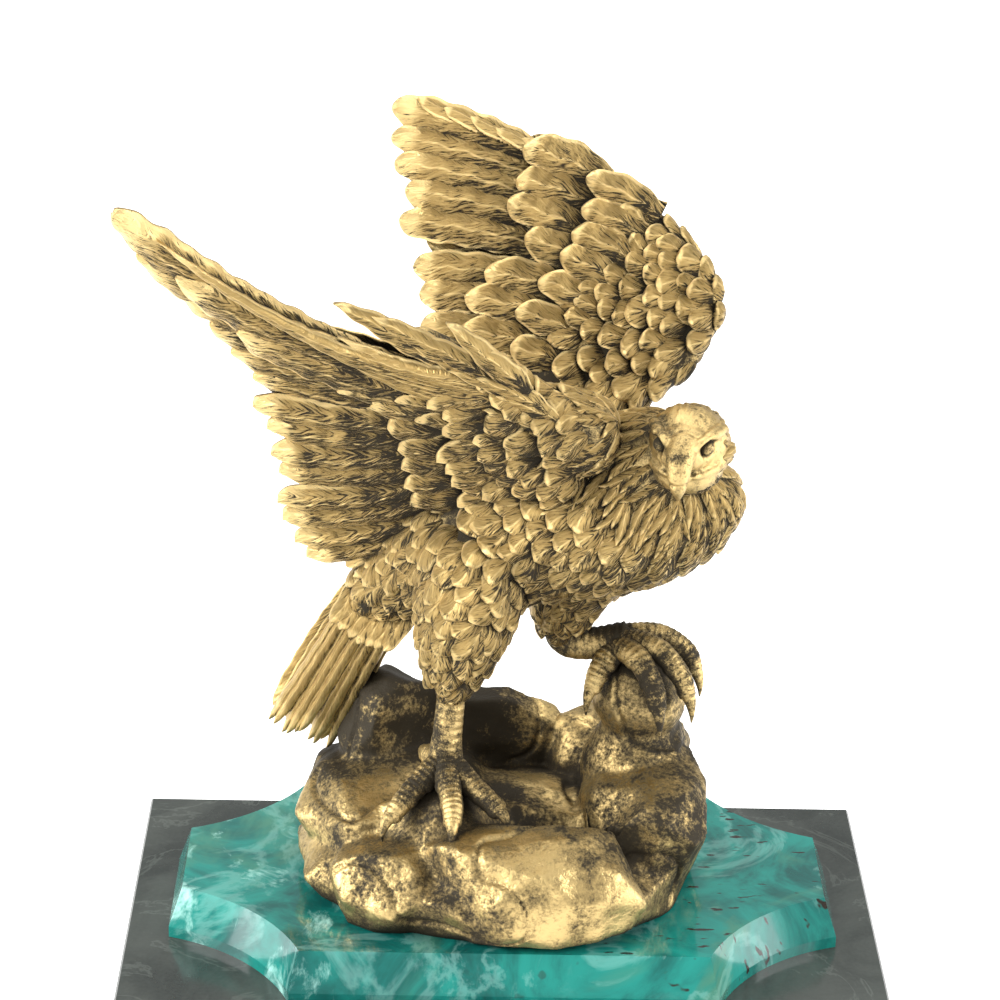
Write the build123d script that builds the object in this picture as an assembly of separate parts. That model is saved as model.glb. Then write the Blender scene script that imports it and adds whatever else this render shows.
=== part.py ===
from build123d import *
import os
from math import cos, radians, sin

# Eagle statuette in cast bronze, perched on a bronze rock that is bolted to two stone bases.
# Millimetres, +Z up, +X to the side that the bird faces, -Y to the side of its right wing.
# The origin is the middle of the underside, on the felt.

# ---- driving dimensions ------------------------------------------------------------------
SLAB_SIZE = (200.0, 120.0, 10.0)
FELT_INSET = 2.0
FELT_THICK = 2.0

PLINTH_TOP_HALF = (85.0, 49.0)
PLINTH_BEVEL = 3.5
PLINTH_BAND = 3.0
PLINTH_HEIGHT = 13.5
SCOOP_CENTRE = (105.0, 69.0)
SCOOP_RADIUS = 56.0

ROCK_HEIGHT = 45.0
ROCK_WALL = 5.0
ROCK_HOLLOW_HEIGHT = 20.5
ROCK_HOLLOW_TAPER = 0.94
ROCK_TOP_HEIGHT = 58.0
ROCK_TOP_SLOPE = (0.06, 0.25)
CREST_TOP = 73.0
CREST_TAPER = 0.66
CREST_SHIFT = (-7.0, 5.0, 0.0)
CREST_DEPTH_IN_ROCK = 22.0
BALL_CENTRE = (35.0, 5.0, 73.0)
BALL_RADIUS = 12.0
BALL_STEM = (17.0, 10.5, 24.0)

BODY_WALL = 4.0
WING_THICK = 5.0
NEAR_WING_ROOT = (0.0, -17.0, 158.0)
NEAR_WING_LEAN = -26.0
FAR_WING_ROOT = (0.0, 20.5, 150.0)
FAR_WING_LEAN = 19.0

CLEARANCE = 0.15
BALL_FULLNESS = 1.04
PIN_RADIUS = 1.5
STUD_RADIUS = 2.5
NUT_HALF_FLATS = 4.0
NUT_HEIGHT = 4.0
WASHER_RADIUS = 5.0
WASHER_THICK = 1.0

RIGHT_FOOT = (-16.0, -14.0)
LEFT_FOOT = (BALL_CENTRE[0], BALL_CENTRE[1])
BASE_STUD_SPOTS = ((-28.0, 18.0), (28.0, 18.0))

# ---- heights worked out from them --------------------------------------------------------
SLAB_BOTTOM = FELT_THICK
SLAB_TOP = SLAB_BOTTOM + SLAB_SIZE[2]
PLINTH_TOP = SLAB_TOP + PLINTH_HEIGHT
HOLLOW_TOP = PLINTH_TOP + ROCK_HOLLOW_HEIGHT
COUNTERBORE_DEPTH = 6.0
COUNTERBORE_RADIUS = 7.0
COUNTERBORE_TOP = SLAB_BOTTOM + COUNTERBORE_DEPTH

BOTTOM = (Align.CENTER, Align.CENTER, Align.MIN)


# ---- small tools -------------------------------------------------------------------------
def outline(points, height=0.0):
    """A flat face through the points, at one height."""
    return Pos(0, 0, height) * make_face(Polyline(*points, close=True).edges())


def grown_outline(points, factor, height):
    """The outline scaled about the upright axis through the origin."""
    return outline([(x * factor, y * factor) for x, y in points], height)


def upright_rod(spot, radius, low, high):
    return Pos(spot[0], spot[1], low) * Cylinder(radius, high - low, align=BOTTOM)


def level_pin(centre, length, along):
    """A pin lying level along X or Y."""
    turn = Rot(0, 90, 0) if along == "x" else Rot(90, 0, 0)
    return Pos(*centre) * turn * Cylinder(PIN_RADIUS, length)


def tapered_rod(start, end, start_radius, end_radius):
    """A cone frustum from one point to another, with a slightly fuller ball over its start."""
    run = Vector(*end) - Vector(*start)
    frustum = Plane(origin=start, z_dir=run) * Cone(start_radius, end_radius, run.length, align=BOTTOM)
    return frustum + Pos(*start) * Sphere(start_radius * BALL_FULLNESS)


def chain(points, radii):
    """A limb through several points, each of its own radius."""
    limb = None
    for start, end, start_radius, end_radius in zip(points, points[1:], radii, radii[1:]):
        piece = tapered_rod(start, end, start_radius, end_radius)
        limb = piece if limb is None else limb + piece
    return limb


def largest(shape):
    """The main solid, without slivers that a cut leaves behind."""
    return max(shape.solids(), key=lambda solid: solid.volume)


def washer(spot, low):
    return upright_rod(spot, WASHER_RADIUS, low, low + WASHER_THICK) - upright_rod(
        spot, STUD_RADIUS, low, low + WASHER_THICK)


def nut(spot, low):
    hexagon = RegularPolygon(NUT_HALF_FLATS, 6, major_radius=False)
    body = Pos(spot[0], spot[1], low) * extrude(hexagon, NUT_HEIGHT)
    return body - upright_rod(spot, STUD_RADIUS, low, low + NUT_HEIGHT)


# ---- stone bases -------------------------------------------------------------------------
def felt_sheet():
    length, depth, _ = SLAB_SIZE
    return Box(length - 2 * FELT_INSET, depth - 2 * FELT_INSET, FELT_THICK, align=BOTTOM)


def stone_slab():
    edge_chamfer = 0.6
    slab = Pos(0, 0, SLAB_BOTTOM) * Box(*SLAB_SIZE, align=BOTTOM)
    slab = chamfer(slab.edges().group_by(Axis.Z)[-1], edge_chamfer)
    for spot in BASE_STUD_SPOTS:
        slab -= upright_rod(spot, COUNTERBORE_RADIUS, SLAB_BOTTOM, COUNTERBORE_TOP)
        slab -= upright_rod(spot, STUD_RADIUS + CLEARANCE, SLAB_BOTTOM, SLAB_TOP)
    return slab


def scooped_outline(spread, height):
    """A rectangle with a round bite out of each corner; spread moves its whole edge outwards."""
    half_x = PLINTH_TOP_HALF[0] + spread
    half_y = PLINTH_TOP_HALF[1] + spread
    face = Rectangle(2 * half_x, 2 * half_y)
    for side_x in (-1, 1):
        for side_y in (-1, 1):
            bite = Pos(side_x * SCOOP_CENTRE[0], side_y * SCOOP_CENTRE[1])
            face -= bite * Circle(SCOOP_RADIUS - spread)
    return Pos(0, 0, height) * face


def stone_plinth():
    band = extrude(scooped_outline(PLINTH_BEVEL, SLAB_TOP), PLINTH_BAND)
    low_face = scooped_outline(PLINTH_BEVEL, SLAB_TOP + PLINTH_BAND)
    bevelled = loft([low_face, scooped_outline(0.0, PLINTH_TOP)], ruled=True)
    plinth = band + bevelled
    for spot in BASE_STUD_SPOTS:
        plinth -= upright_rod(spot, STUD_RADIUS + CLEARANCE, SLAB_TOP, PLINTH_TOP)
    return plinth


# ---- rock --------------------------------------------------------------------------------
ROCK_FOOTPRINT = (
    (-56, 30), (-53, 14), (-44, -14), (-36, -27), (-20, -39), (-6, -48), (14, -45),
    (28, -32), (38, -24), (50, -3), (56, 12), (58, 30), (44, 43), (10, 47), (-40, 44),
)
CREST_FOOTPRINT = (
    (-50, 14), (-38, 2), (-8, 6), (4, 18), (30, 16), (50, 14), (52, 36), (10, 44), (-38, 42),
)


def boulder(grow=0.0):
    """The main stone without its hollow, cut off above by a plane that falls to the front."""
    spread = 1.0 + grow / 50.0
    levels = ((1.0, 0.0), (1.04, 14.0), (0.98, 28.0), (0.9, ROCK_HEIGHT))
    rings = [grown_outline(ROCK_FOOTPRINT, size * spread, PLINTH_TOP + up) for size, up in levels]
    slope_x, slope_y = ROCK_TOP_SLOPE
    top_plane = Plane(origin=(0, 0, ROCK_TOP_HEIGHT + grow), z_dir=(-slope_x, -slope_y, 1))
    return loft(rings, ruled=True) - top_plane * Box(300, 300, 100, align=BOTTOM)


def crest():
    """The taller stone behind the legs and under the tail."""
    low = grown_outline(CREST_FOOTPRINT, 1.0, PLINTH_TOP + CREST_DEPTH_IN_ROCK)
    high = Pos(*CREST_SHIFT) * grown_outline(CREST_FOOTPRINT, CREST_TAPER, CREST_TOP)
    return loft([low, high], ruled=True)


def ball_stone(grow=0.0):
    """The round stone in the raised foot's grip, on its stem."""
    x, y, z = BALL_CENTRE
    low_radius, high_radius, height = BALL_STEM
    stem = Pos(x, y, z - 28) * Cone(low_radius + grow, high_radius + grow, height, align=BOTTOM)
    return stem + Pos(x, y, z) * Sphere(BALL_RADIUS + grow)


def rock_casting():
    rock = boulder() + crest() + ball_stone()
    shrink = 1.0 - ROCK_WALL / 40.0
    hollow_low = grown_outline(ROCK_FOOTPRINT, shrink, PLINTH_TOP)
    hollow_high = grown_outline(ROCK_FOOTPRINT, shrink * ROCK_HOLLOW_TAPER, HOLLOW_TOP)
    rock -= loft([hollow_low, hollow_high], ruled=True)
    boss_radius = 6.0
    for spot in BASE_STUD_SPOTS:
        rock += upright_rod(spot, boss_radius, PLINTH_TOP, HOLLOW_TOP)
    for spot in BASE_STUD_SPOTS:
        rock -= upright_rod(spot, STUD_RADIUS, PLINTH_TOP, HOLLOW_TOP)
    for spot in (RIGHT_FOOT, LEFT_FOOT):
        rock -= upright_rod(spot, STUD_RADIUS + CLEARANCE, HOLLOW_TOP, BALL_CENTRE[2] + 20)
    return rock


def base_studs():
    low = COUNTERBORE_TOP - WASHER_THICK - NUT_HEIGHT - 0.5
    return [upright_rod(spot, STUD_RADIUS, low, HOLLOW_TOP - 3) for spot in BASE_STUD_SPOTS]


def base_washers():
    return [washer(spot, COUNTERBORE_TOP - WASHER_THICK) for spot in BASE_STUD_SPOTS]


def base_nuts():
    return [nut(spot, COUNTERBORE_TOP - WASHER_THICK - NUT_HEIGHT) for spot in BASE_STUD_SPOTS]


# ---- bird --------------------------------------------------------------------------------
# The trunk is turned about a line from rump to breast: distance along it, and radius there.
TRUNK_START = (-38.0, 7.0, 112.0)
TRUNK_END = (60.0, 0.0, 132.0)
TRUNK_PROFILE = (
    (0, 8), (12, 15), (26, 20), (44, 23.5), (64, 23), (80, 19), (92, 12), (99, 4),
)
RUMP = (((-24, 6, 112), (-37, 8, 101)), (15, 9))
NECK_POINTS = ((26, 0, 140), (36, -5, 147), (43, -12, 152))
NECK_RADII = (15, 12, 10)
HEAD_RADIUS = 11.0
BEAK_POINTS = ((42, -20, 152), (40.5, -26, 149), (40, -28, 143.5))
BEAK_RADII = (4.2, 3.1, 0.8)
THIGH_END_RADIUS = 6.5
RIGHT_THIGH = ((-11, -8, 118), (-14.5, -12, 102), (-14.5, -12, 82))
LEFT_THIGH = ((16, 6, 112), (14, 8, 103), (14, 8, 92))
THIGH_RADII = (14, 11, THIGH_END_RADIUS)
PEG_SIZE = (10.0, 14.0, 8.0)
NEAR_PEG = (6.0, -9.0, 143.0)
FAR_PEG = (7.0, 12.0, 142.0)
WING_PIN_OFFSET = 3.0
TAIL_PIN_OFFSET = 4.0
PIN_OVERHANG = 4.0
SHOULDER_OFFSET = (0.3, 4.0, 5.0)
SHOULDER_RADIUS = 8.6
TAIL_PEG = (-38.0, 8.0, 100.0)
TAIL_PEG_SIZE = (14.0, 6.0, 5.0)
LEG_PEG_RADIUS = 3.0
LEG_PEG_LENGTH = 9.0
LEG_PIN_LENGTH = 10.0
BOSS_WALL = 2.5


def trunk(grow=0.0):
    """The trunk's outside, or with a negative grow the hollow inside it."""
    edge = [(along, radius + grow) for along, radius in TRUNK_PROFILE if radius + grow > 1]
    first, last = edge[0][0] - grow, edge[-1][0] + grow
    rim = [(first, 0), (first, edge[0][1])] + edge[1:-1] + [(last, edge[-1][1]), (last, 0)]
    line = Vector(*TRUNK_END) - Vector(*TRUNK_START)
    lying = Plane(origin=TRUNK_START, x_dir=line, z_dir=Vector(0, 1, 0).cross(line))
    return lying * revolve(outline(rim), Axis.X)


def peg(centre, size, grow=0.0):
    return Pos(*centre) * Box(*(side + 2 * grow for side in size))


def leg_peg(thigh, grow=0.0):
    x, y, low = thigh[-1]
    return upright_rod((x, y), LEG_PEG_RADIUS + grow, low, low + LEG_PEG_LENGTH + grow)


def leg_pin(thigh):
    x, y, low = thigh[-1]
    return level_pin((x, y, low + LEG_PEG_LENGTH / 2), LEG_PIN_LENGTH, "y")


def near_wing_pin():
    x, y, z = NEAR_PEG
    return level_pin((x, y + WING_PIN_OFFSET, z), PEG_SIZE[0] + PIN_OVERHANG, "x")


def far_wing_pin():
    x, y, z = FAR_PEG
    return level_pin((x, y - WING_PIN_OFFSET, z), PEG_SIZE[0] + PIN_OVERHANG, "x")


def tail_pin():
    x, y, z = TAIL_PEG
    return level_pin((x + TAIL_PIN_OFFSET, y, z), TAIL_PEG_SIZE[1] + PIN_OVERHANG, "y")


def body_casting():
    """Trunk with neck, head, beak and both feathered thighs, hollow and socketed for the limbs."""
    body = trunk() + tapered_rod(*RUMP[0], *RUMP[1])
    body += chain(NECK_POINTS, NECK_RADII) + Pos(*NECK_POINTS[-1]) * Sphere(HEAD_RADIUS)
    body += chain(BEAK_POINTS, BEAK_RADII)
    for thigh in (RIGHT_THIGH, LEFT_THIGH):
        body += chain(thigh, THIGH_RADII)
    body -= trunk(-BODY_WALL)
    inside = trunk(-CLEARANCE)
    for centre in (NEAR_PEG, FAR_PEG):
        body += peg(centre, PEG_SIZE, BOSS_WALL) & inside
        body -= peg(centre, PEG_SIZE, CLEARANCE)
    body -= peg(TAIL_PEG, TAIL_PEG_SIZE, CLEARANCE)
    for pin in (near_wing_pin(), far_wing_pin(), tail_pin()):
        body -= pin
    for thigh in (RIGHT_THIGH, LEFT_THIGH):
        body -= leg_peg(thigh, CLEARANCE)
        body -= leg_pin(thigh)
    return largest(body)


def wing_plane(root, lean):
    """The wing's own plane: X along the body, its second axis up the leaning wing."""
    return Plane(origin=root, x_dir=(1, 0, 0), z_dir=(0, -cos(radians(lean)), sin(radians(lean))))


def wing_panel(root, lean, points):
    face = wing_plane(root, lean) * make_face(Polyline(*points, close=True).edges())
    return extrude(face, WING_THICK / 2, both=True)


NEAR_WING_OUTLINE = (
    (16, 3), (7, 10), (-4, 21), (-17, 32), (-46, 39), (-65, 51), (-87, 70), (-94, 72),
    (-95, 67), (-87, 47), (-71, 25), (-63, 12), (-60, -31), (-58, -38), (-34, -53),
    (-24, -59), (-10, -44), (4, -30),
)
FAR_WING_OUTLINE = (
    (30, 2), (43, 8), (50, 12), (53, 21), (52.5, 29), (48, 40), (39, 49.5), (22, 61),
    (3, 69.5), (-20, 77.5), (-28, 80.5), (-33, 78), (-31, 62), (-30, 49), (-27, 35),
    (-24, 24), (-20, 8), (-10, -6), (14, -12),
)


def wing_casting(root, lean, points, peg_centre, outward):
    """A wing blade with a lump at the shoulder and a square peg that enters the trunk."""
    x, y, z = peg_centre
    ahead, aside, above = SHOULDER_OFFSET
    shoulder = Pos(x + ahead, y + outward * aside, z + above) * Sphere(SHOULDER_RADIUS)
    wing = wing_panel(root, lean, points) + shoulder
    return largest(wing - trunk(CLEARANCE)) + peg(peg_centre, PEG_SIZE)


def right_wing_casting():
    wing = wing_casting(NEAR_WING_ROOT, NEAR_WING_LEAN, NEAR_WING_OUTLINE, NEAR_PEG, -1)
    return wing - near_wing_pin()


def left_wing_casting():
    wing = wing_casting(FAR_WING_ROOT, FAR_WING_LEAN, FAR_WING_OUTLINE, FAR_PEG, 1)
    return wing - far_wing_pin()


TAIL_BASE = (-40.0, 9.0, 98.0)
TAIL_TIP = (-58.0, 14.0, 58.0)
TAIL_OUTLINE = ((-6, 4), (6, 4), (9, -28), (11, -44), (8, -46), (-8, -46), (-11, -44), (-9, -28))


def tail_casting():
    along = Vector(*TAIL_BASE) - Vector(*TAIL_TIP)
    across = Vector(0.35, 1.0, 0.0)
    fan = Plane(origin=TAIL_BASE, x_dir=across, z_dir=across.cross(along))
    face = fan * make_face(Polyline(*TAIL_OUTLINE, close=True).edges())
    tail = extrude(face, WING_THICK / 2, both=True) + Pos(*TAIL_BASE) * Sphere(6.0)
    tail = largest(tail - tapered_rod(*RUMP[0], *(radius + CLEARANCE for radius in RUMP[1])))
    tail = largest(tail - boulder(CLEARANCE))
    return tail + peg(TAIL_PEG, TAIL_PEG_SIZE) - tail_pin()


# Each toe runs through its knuckle, middle joint and claw root to the claw's tip.
RIGHT_TOES = (
    ((-17, -15, 64), (-23, -20, 57), (-30, -27, 54), (-34, -31, 49)),
    ((-16, -17, 63), (-15, -25, 56.5), (-14, -33, 54.5), (-13, -37, 51)),
    ((-15, -16, 63), (-9, -22, 57.5), (-3, -28, 55), (1, -31, 51.5)),
    ((-17, -11, 63), (-19, -6, 61), (-21, -1, 60), (-22, 3, 59)),
)
LEFT_TOES = (
    ((30, 3, 87), (36, -3, 87), (42, -8, 80), (43, -10, 73)),
    ((31, 5, 88), (40, 1, 88), (48, -4, 81), (50, -5, 74)),
    ((31, 7, 88), (41, 9, 88), (49, 8, 81), (51, 7, 74)),
    ((28, 3, 87), (24, -2, 82), (21, -4, 76), (21, -5, 70)),
)
TOE_RADII = (3.4, 3.0, 2.4, 0.6)
RIGHT_FOOT_LOW = 56.0
LEFT_FOOT_TOP = BALL_CENTRE[2] + BALL_RADIUS + 4.0
STUD_GRIP = 5.0
STUD_END_GAP = 0.5
CUFF_RADII = {"right": 4.4, "left": 4.6}


def leg_casting(thigh, cuff_radius, shank, shank_radii, toes):
    """A bare shank and foot under a short cuff, with a round peg that enters the thigh."""
    x, y, high = thigh[-1]
    leg = upright_rod((x, y), cuff_radius, shank[0][2] - 2, high) + chain(shank, shank_radii)
    for toe in toes:
        leg += chain(toe, TOE_RADII)
    return leg


def right_leg_casting():
    shank = ((-14.5, -12, 77), (-15.5, -13, 70), (-16, -14, 61), (-16, -14, RIGHT_FOOT_LOW - 1))
    leg = leg_casting(RIGHT_THIGH, CUFF_RADII["right"], shank, (4.2, 3.8, 4.6, 5.2), RIGHT_TOES)
    leg = largest(leg - boulder(CLEARANCE)) + leg_peg(RIGHT_THIGH) - leg_pin(RIGHT_THIGH)
    stud_high = RIGHT_FOOT_LOW + STUD_GRIP
    return leg - upright_rod(RIGHT_FOOT, STUD_RADIUS, RIGHT_FOOT_LOW - 20, stud_high)


def left_leg_casting():
    foot_x, foot_y = LEFT_FOOT
    instep = (foot_x - 4, foot_y, LEFT_FOOT_TOP - 1)
    shank = ((14, 8, 87), (21, 7, 86.5), instep, (foot_x, foot_y, LEFT_FOOT_TOP - 4))
    leg = leg_casting(LEFT_THIGH, CUFF_RADII["left"], shank, (4.4, 4.2, 4.6, 5.0), LEFT_TOES)
    leg = largest(leg - ball_stone(CLEARANCE)) + leg_peg(LEFT_THIGH) - leg_pin(LEFT_THIGH)
    return leg - upright_rod(LEFT_FOOT, STUD_RADIUS, LEFT_FOOT_TOP - 20, LEFT_FOOT_TOP - 2)


def foot_stud(spot, high):
    return upright_rod(spot, STUD_RADIUS, HOLLOW_TOP - WASHER_THICK - NUT_HEIGHT - 2, high)


def foot_washer(spot):
    return washer(spot, HOLLOW_TOP - WASHER_THICK)


def foot_nut(spot):
    return nut(spot, HOLLOW_TOP - WASHER_THICK - NUT_HEIGHT)


# ---- all the nodes -----------------------------------------------------------------------
NODES = {
    "felt_sheet": felt_sheet(),
    "stone_slab": stone_slab(),
    "stone_plinth": stone_plinth(),
    "rock_casting": rock_casting(),
    "base_studs": base_studs(),
    "base_washers": base_washers(),
    "base_nuts": base_nuts(),
    "body_casting": body_casting(),
    "right_wing_casting": right_wing_casting(),
    "left_wing_casting": left_wing_casting(),
    "tail_casting": tail_casting(),
    "right_leg_casting": right_leg_casting(),
    "left_leg_casting": left_leg_casting(),
    "right_wing_pin": near_wing_pin(),
    "left_wing_pin": far_wing_pin(),
    "tail_pin": tail_pin(),
    "right_leg_pin": leg_pin(RIGHT_THIGH),
    "left_leg_pin": leg_pin(LEFT_THIGH),
    "right_foot_stud": foot_stud(RIGHT_FOOT, RIGHT_FOOT_LOW + STUD_GRIP - STUD_END_GAP),
    "right_foot_washer": foot_washer(RIGHT_FOOT),
    "right_foot_nut": foot_nut(RIGHT_FOOT),
    "left_foot_stud": foot_stud(LEFT_FOOT, LEFT_FOOT_TOP - 2 - STUD_END_GAP),
    "left_foot_washer": foot_washer(LEFT_FOOT),
    "left_foot_nut": foot_nut(LEFT_FOOT),
}

os.makedirs("parts", exist_ok=True)
for node, solids in NODES.items():
    group = solids if isinstance(solids, list) else [solids]
    shape = Compound(label=node, children=group) if len(group) > 1 else group[0]
    export_step(shape, f"parts/{node}.step")
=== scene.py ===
import math

import bmesh
import bpy
import numpy as np
from mathutils import Matrix, Vector
from mathutils.bvhtree import BVHTree


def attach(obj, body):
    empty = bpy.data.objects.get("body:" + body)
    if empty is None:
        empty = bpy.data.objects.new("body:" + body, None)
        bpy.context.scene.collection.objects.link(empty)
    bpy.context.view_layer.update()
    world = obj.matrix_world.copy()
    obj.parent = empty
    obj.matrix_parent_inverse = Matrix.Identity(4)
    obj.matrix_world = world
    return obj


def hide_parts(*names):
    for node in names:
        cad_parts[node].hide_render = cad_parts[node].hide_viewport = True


# Gilt bronze eagle on a bronze rock, over a green stone plinth and a dark stone slab.
# Shapes are worked out in millimetres in the CAD's own frame and become metres in build().

MM = 0.001
BODY = "root"
UP = np.array((0.0, 0.0, 1.0))
CURVE_STEPS = 24
rng = np.random.default_rng(7)


# ---- small vector tools ----
def vec(*values):
    return np.array(values, dtype=float)


def unit(v):
    return v / np.linalg.norm(v)


def smooth_step(low, high, x):
    t = np.clip((x - low) / (high - low), 0, 1)
    return t * t * (3 - 2 * t)


def curve_through(points, count):
    """That many points, evenly spaced along a smooth curve through the given ones."""
    knots = np.array(points, dtype=float)
    if len(knots) == 1:
        return np.repeat(knots, count, axis=0)
    ends = np.vstack([2 * knots[0] - knots[1], knots, 2 * knots[-1] - knots[-2]])
    dense = []
    for i in range(1, len(ends) - 2):
        before, start, stop, after = ends[i - 1:i + 3]
        for t in np.linspace(0, 1, CURVE_STEPS, endpoint=i == len(ends) - 3):
            dense.append(0.5 * (2 * start + (stop - before) * t
                                + (2 * before - 5 * start + 4 * stop - after) * t ** 2
                                + (3 * start - before - 3 * stop + after) * t ** 3))
    dense = np.array(dense)
    reach = np.concatenate([[0], np.cumsum(np.linalg.norm(np.diff(dense, axis=0), axis=1))])
    wanted = np.linspace(0, reach[-1], count)
    return np.stack([np.interp(wanted, reach, dense[:, k]) for k in range(dense.shape[1])], axis=1)


# ---- collecting closed shells into one mesh ----
class Shells:
    """Closed shells of one piece, each point with two rows of numbers for the materials.

    lay is how far along and across the feather a point lies, how much gold shows there (0.5 is
    plain, more is brighter; on the rock, less is painted shade) and the feather's own tone. barb is a place
    in the barb pattern."""

    def __init__(self):
        self.points, self.faces, self.lay, self.barb = [], [], [], []
        self.count = 0

    def add(self, points, faces, lay, barb):
        self.points.append(points)
        self.faces.extend([tuple(i + self.count for i in face) for face in faces])
        self.lay.append(lay)
        self.barb.append(barb)
        self.count += len(points)


def build(name, shells, material, node):
    """Makes the Blender object in metres, parents it to the body's empty and hides the CAD node it replaces.
    """
    mesh = bpy.data.meshes.new(name)
    points = np.concatenate(shells.points) * MM
    mesh.from_pydata(points.tolist(), [], shells.faces)
    lay = mesh.attributes.new("lay", "FLOAT_COLOR", "POINT")
    lay.data.foreach_set("color", np.concatenate(shells.lay).astype(np.float32).ravel())
    barb = mesh.attributes.new("barb", "FLOAT_VECTOR", "POINT")
    barb.data.foreach_set("vector", np.concatenate(shells.barb).astype(np.float32).ravel())
    mesh.polygons.foreach_set("use_smooth", [True] * len(mesh.polygons))
    mesh.update()
    piece = bpy.data.objects.new(name, mesh)
    bpy.context.scene.collection.objects.link(piece)
    mesh.materials.append(material)
    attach(piece, BODY)
    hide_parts(node)


def sheet_faces(rows, cols):
    """Faces of a thin closed sheet whose upper grid is followed by its lower grid."""
    index = np.arange(rows * cols).reshape(rows, cols)
    upper = np.stack([index[:-1, :-1], index[:-1, 1:], index[1:, 1:], index[1:, :-1]], -1).reshape(-1, 4)
    lower = upper[:, ::-1] + rows * cols
    rim = np.concatenate([index[0, :], index[1:, -1], index[-1, -2::-1], index[-2:0:-1, 0]])
    after = np.roll(rim, -1)
    wall = np.stack([rim, rim + rows * cols, after + rows * cols, after], -1)
    return np.concatenate([upper, lower, wall]).tolist()


# ---- feathers ----
def round_outline(s):
    """Half width of a broad feather, as a share of its full width, s of the way to its tip."""
    return (0.6 + 0.4 * smooth_step(0, 0.4, s)) * np.sqrt(
        np.clip(1 - (np.clip(s - 0.55, 0, 1) / 0.452) ** 2, 0.004, 1))


def blade_outline(s):
    return (0.72 + 0.28 * smooth_step(0, 0.5, s)) * np.sqrt(
        np.clip(1 - (np.clip(s - 0.8, 0, 1) / 0.201) ** 2, 0.004, 1))


def lance_outline(s):
    return smooth_step(-0.35, 0.35, s) * np.clip(1 - s ** 2.6, 0.02, 1) ** 0.75


OUTLINES = {"round": round_outline, "blade": blade_outline, "lance": lance_outline}
BARB_SLOPE = 0.36
VANE_ARC = math.pi / 2.3
TONE_GAP = 60


def vane_layer(flat, out, height, skin):
    """The vane's points at their heights over its plane, or over the skin it is pressed on."""
    if skin is None:
        return flat + out * height[..., None]
    layer = np.empty_like(flat)
    for place in np.ndindex(height.shape):
        spot, normal, _, _ = skin.find_nearest(Vector(flat[place]))
        normal = 0.75 * np.array(normal) + 0.25 * out
        layer[place] = np.array(spot) + normal * height[place]
    return layer


def feather(shells, base, tip, normal, width, outline, camber, lift, sink, ridge, groove, pitch, thick,
            rows, cols, bow=0.0, quill=0.0, shine=0.5, skin=None):
    """A cambered closed vane from base to tip, laid on a plane or wrapped on a skin.

    bow bends it sideways, lift raises its tip, sink lowers its base, ridge is the height of its
    middle rib, groove and pitch shape its barbs, and quill shifts the line they run out from."""
    run = tip - base
    length = np.linalg.norm(run)
    ahead = run / length
    out = unit(normal - ahead * normal.dot(ahead))
    side = np.cross(ahead, out)
    s = (1 - (1 - np.linspace(0, 1, rows)) ** 1.5)[:, None] * np.ones((1, cols))
    t = np.sin(np.linspace(-1, 1, cols) * VANE_ARC)[None, :] / math.sin(VANE_ARC) * np.ones((rows, 1))
    half = width / 2 * OUTLINES[outline](s)
    across = t * half
    along = s * length
    edge = np.abs(t)
    phase = np.abs(across - quill * width / 2) - BARB_SLOPE * along + rng.uniform(0, 5)
    wobble = rng.uniform(0, 6, 3)
    height = camber * width * (1 - t ** 2) * (0.45 + 0.55 * smooth_step(0, 0.4, s)) * (1 - 0.35 * s ** 6)
    height += lift * s ** 1.4 - sink * (1 - s) ** 2
    height += ridge * np.exp(-(t / 0.12) ** 2) * (1 - 0.7 * s)
    depth_of_groove = groove * (0.6 + 0.4 * np.sin(along * 0.9 + wobble[0])) * (1 - edge ** 6)
    height += depth_of_groove * np.sin(2 * math.pi * phase / pitch)
    height += 0.05 * width * np.sin(along * 0.5 + wobble[1]) * t * (0.3 + s) * 0.5
    sideways = across + bow * length * 4 * s * (1 - s) + 0.03 * width * np.sin(along * 0.8 + wobble[2])
    flat = base + ahead * along[..., None] + side * sideways[..., None]
    depth = thick * (0.4 + 0.6 * (1 - t ** 2))
    top = vane_layer(flat, out, height, skin)
    bottom = vane_layer(flat, out, height - depth, skin)
    tone = rng.uniform(0, 1)
    lay = np.stack([s, edge, np.full_like(s, shine), np.full_like(s, tone)], -1).reshape(-1, 4)
    barb = np.stack([phase, along, np.full_like(s, tone * TONE_GAP)], -1).reshape(-1, 3)
    points = np.concatenate([top.reshape(-1, 3), bottom.reshape(-1, 3)])
    shells.add(points, sheet_faces(rows, cols), np.tile(lay, (2, 1)), np.tile(barb, (2, 1)))


SKIN_LAY = vec(0.6, 0.3, 0.5, 0.5)
LIMB_LAY = vec(0.6, 0.3, 0.56, 0.5)
SKIN_BARB = 0.7


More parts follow.
